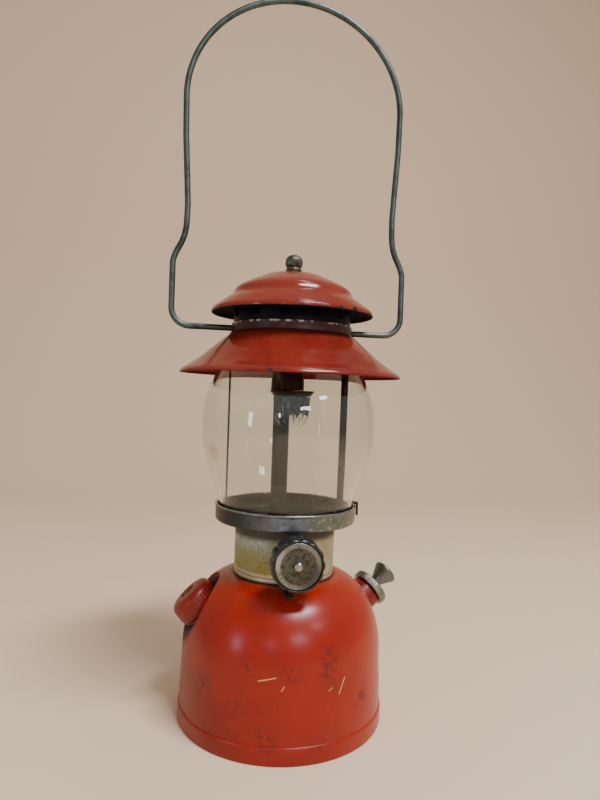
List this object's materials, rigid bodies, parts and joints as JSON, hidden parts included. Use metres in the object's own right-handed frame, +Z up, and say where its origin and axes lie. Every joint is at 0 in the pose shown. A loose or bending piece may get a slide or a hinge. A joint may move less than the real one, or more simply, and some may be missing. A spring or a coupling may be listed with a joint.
{
  "type": "camping lantern",
  "caption": "Pressure camping lantern with a round red fount, pump, filler cap and control knob, a clear glass globe, a two-tier red ventilator and a tall wire bail.",
  "frame": {"origin": "centre of the foot, on the plane it stands on", "axes": "+Z up, -Y towards the control knob, -X towards the fuel cap, +X towards the pump"},
  "size_m": [0.1693, 0.147, 0.479],
  "materials": {
    "red_paint": "worn satin paint",
    "red_enamel": "gloss enamel, chipped at the rims",
    "nickel": "dull worn plating",
    "brass": "tarnished",
    "dark_steel": "heat-darkened",
    "galvanised": "aged zinc",
    "black_plastic": "satin",
    "clear_glass": "clear",
    "leather": "oiled",
    "rubber": "matte",
    "mantle_ash": "burnt, brittle"
  },
  "bodies": {
    "fount": {"fount_shell": "red_paint", "fount_base": "red_paint", "filler_neck": "red_paint", "pump_boss": "red_paint", "pump_barrel": "brass", "pump_cap": "nickel", "check_valve": "brass", "fuel_tube": "brass", "valve_body": "brass", "packing_nut": "brass", "collar": "nickel", "burner_plate": "nickel", "rim_clip": "dark_steel", "upright_left": "dark_steel", "upright_right": "nickel", "crown": "dark_steel", "top_stud": "dark_steel", "generator_nut": "brass", "generator": "brass", "generator_jet": "brass", "air_tube": "dark_steel", "mixing_elbow": "dark_steel", "burner_cap": "dark_steel", "burner_screen": "dark_steel", "mantle": "mantle_ash"},
    "cap_insert": {"fuel_cap_insert": "brass", "fuel_cap_gasket": "rubber"},
    "fuel_cap": {"fuel_cap": "red_paint", "fuel_cap_screw": "nickel"},
    "piston": {"pump_cup": "leather", "cup_washer": "nickel", "plunger_spring": "dark_steel"},
    "plunger": {"plunger_rod": "nickel", "plunger_knob": "nickel"},
    "air_stem": {"air_stem": "brass"},
    "control_knob": {"control_knob": "black_plastic", "knob_dial": "nickel", "knob_screw": "nickel", "valve_stem": "brass"},
    "cleaner": {"cleaner_lever": "dark_steel", "cleaner_shaft": "brass"},
    "cleaning_rod": {"cleaning_rod": "brass"},
    "globe": {"globe": "clear_glass"},
    "ventilator": {"ventilator_skirt": "red_enamel", "ventilator_dome": "red_enamel", "ventilator_ring": "dark_steel", "ventilator_bridge": "dark_steel"},
    "bail": {"bail": "galvanised"},
    "nut_washer": {"nut_washer": "galvanised"},
    "ball_nut": {"ball_nut": "galvanised"}
  },
  "joints": [
    {"name": "cap_lift", "type": "slide", "parent": "fount", "child": "cap_insert", "axis": [-0.6947, 0, 0.7193], "range_m": [0, 0.0121]},
    {"name": "cap_turn", "type": "hinge", "parent": "cap_insert", "child": "fuel_cap", "pos_m": [-0.0542, 0, 0.0706], "axis": [-0.6947, 0, 0.7193], "range_deg": [0, 2160]},
    {"name": "plunger_slide", "type": "slide", "parent": "fount", "child": "piston", "axis": [0.765, 0.2784, 0.5807], "range_m": [0, 0.05]},
    {"name": "plunger_turn", "type": "hinge", "parent": "piston", "child": "plunger", "pos_m": [0.06597, 0.02401, 0.072], "axis": [0.765, 0.2784, 0.5807], "range_deg": [0, 720]},
    {"name": "air_stem_turn", "type": "hinge", "parent": "fount", "child": "air_stem", "pos_m": [0.06597, 0.02401, 0.072], "axis": [0.765, 0.2784, 0.5807], "range_deg": [0, 721]},
    {"name": "knob_turn", "type": "hinge", "parent": "fount", "child": "control_knob", "pos_m": [0, 0, 0.1134], "axis": [0, -1, 0], "range_deg": [0, 450]},
    {"name": "cleaner_turn", "type": "hinge", "parent": "fount", "child": "cleaner", "pos_m": [-0.003, 0, 0.101], "axis": [0, -1, 0], "range_deg": [-90, 90]},
    {"name": "cleaning_rod_slide", "type": "slide", "parent": "fount", "child": "cleaning_rod", "axis": [0, 0, 1], "range_m": [-0.00071, 0.00071]},
    {"name": "globe_lift", "type": "slide", "parent": "fount", "child": "globe", "axis": [0, 0, 1], "range_m": [0, 0.18]},
    {"name": "ventilator_lift", "type": "slide", "parent": "globe", "child": "ventilator", "axis": [0, 0, 1], "range_m": [0, 0.06]},
    {"name": "bail_swing", "type": "hinge", "parent": "ventilator", "child": "bail", "pos_m": [0, 0, 0.256], "axis": [1, 0, 0], "range_deg": [-150, 150]},
    {"name": "nut_rise", "type": "slide", "parent": "ventilator", "child": "nut_washer", "axis": [0, 0, 1], "range_m": [0, 0.0102]},
    {"name": "nut_turn", "type": "hinge", "parent": "nut_washer", "child": "ball_nut", "pos_m": [0, 0, 0.3], "axis": [0, 0, 1], "range_deg": [0, 2880]}
  ],
  "couplings": [
    {"joint": "cap_lift", "follows": "cap_turn", "m_per_rad": 0.00031831},
    {"joint": "air_stem_turn", "follows": "plunger_turn", "ratio": 1},
    {"joint": "cleaning_rod_slide", "follows": "cleaner_turn", "m_per_rad": 0.000446},
    {"joint": "nut_rise", "follows": "nut_turn", "m_per_rad": 0.00020213}
  ]
}
